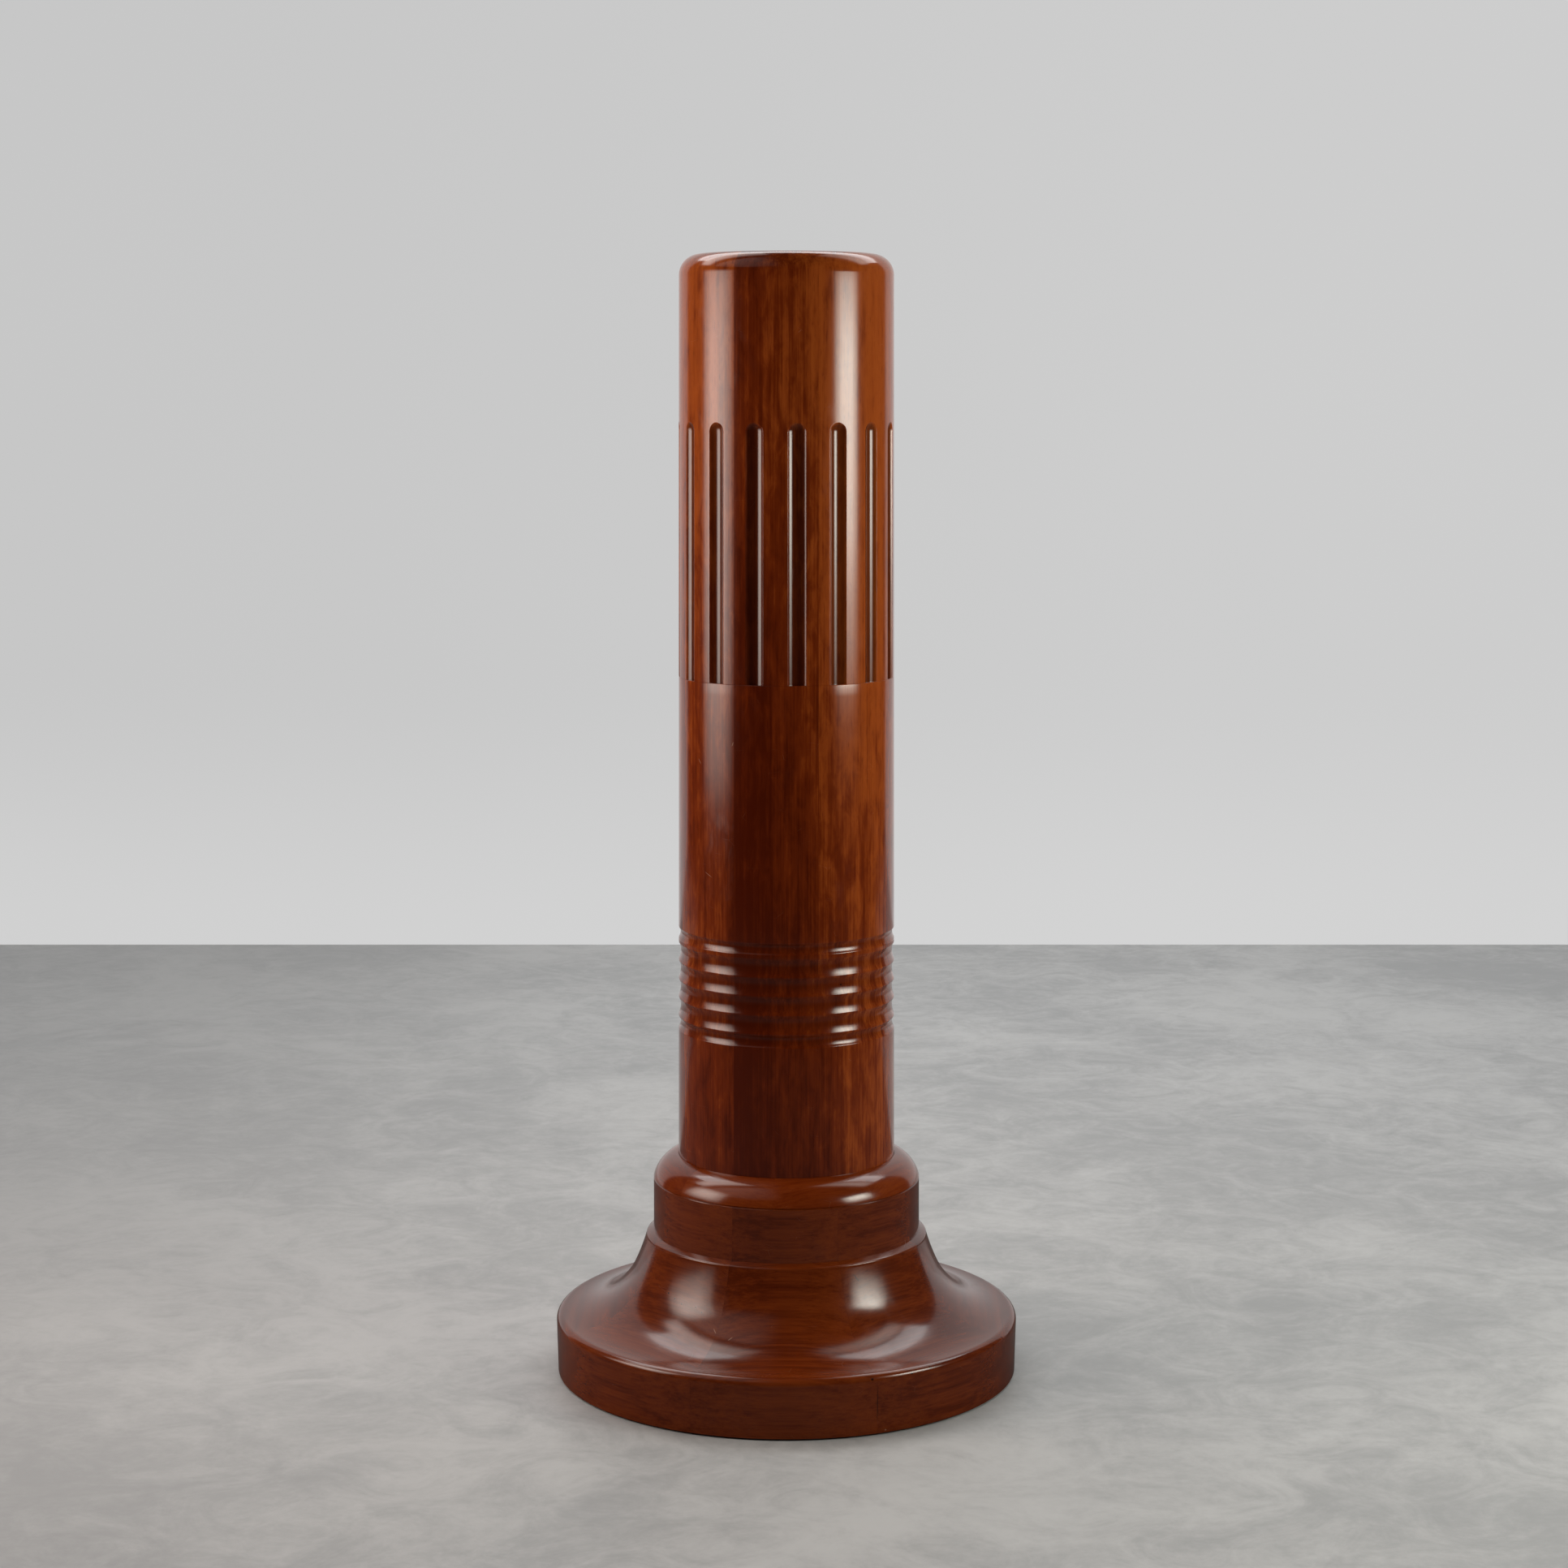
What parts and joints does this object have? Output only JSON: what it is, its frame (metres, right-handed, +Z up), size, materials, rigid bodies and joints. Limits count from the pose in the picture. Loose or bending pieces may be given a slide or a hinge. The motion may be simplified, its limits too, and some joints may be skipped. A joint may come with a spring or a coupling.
{
  "type": "pedestal column stand",
  "caption": "Tall round wooden pedestal: a fluted shaft with a band of turned coves, set in a wide bell-shaped foot with an ovolo collar round the joint.",
  "frame": {"origin": "on the floor, under the centre of the foot", "axes": "+Z up along the axis of the column, -Y towards the front of the picture, +X to its right"},
  "size_m": [0.5042, 0.5042, 1.222],
  "materials": {
    "column_wood": "red-brown mahogany, french polished",
    "collar_wood": "red-brown mahogany, french polished",
    "foot_wood": "red-brown mahogany, french polished",
    "inner_wood": "plain unpolished softwood",
    "steel": "zinc-plated steel",
    "felt": "dark felt"
  },
  "bodies": {
    "root": {"column_stave_1": "column_wood", "column_stave_2": "column_wood", "column_stave_3": "column_wood", "column_stave_4": "column_wood", "column_stave_5": "column_wood", "column_stave_6": "column_wood", "column_stave_7": "column_wood", "column_stave_8": "column_wood", "collar_segment_1": "collar_wood", "collar_segment_2": "collar_wood", "collar_segment_3": "collar_wood", "collar_segment_4": "collar_wood", "collar_segment_5": "collar_wood", "collar_segment_6": "collar_wood", "collar_segment_7": "collar_wood", "collar_segment_8": "collar_wood", "foot_block_1": "foot_wood", "foot_block_2": "foot_wood", "foot_block_3": "foot_wood", "foot_block_4": "foot_wood", "foot_block_5": "foot_wood", "foot_block_6": "foot_wood", "foot_block_7": "foot_wood", "foot_block_8": "foot_wood", "column_tongues": "inner_wood", "top_board": "column_wood", "top_backing_board": "inner_wood", "middle_board": "inner_wood", "anchor_block": "inner_wood", "bottom_board": "inner_wood", "tie_rod": "steel", "rod_nuts": "steel", "rod_washers": "steel", "top_screws": "steel", "bottom_screws": "steel", "felt_pads": "felt"}
  },
  "joints": []
}
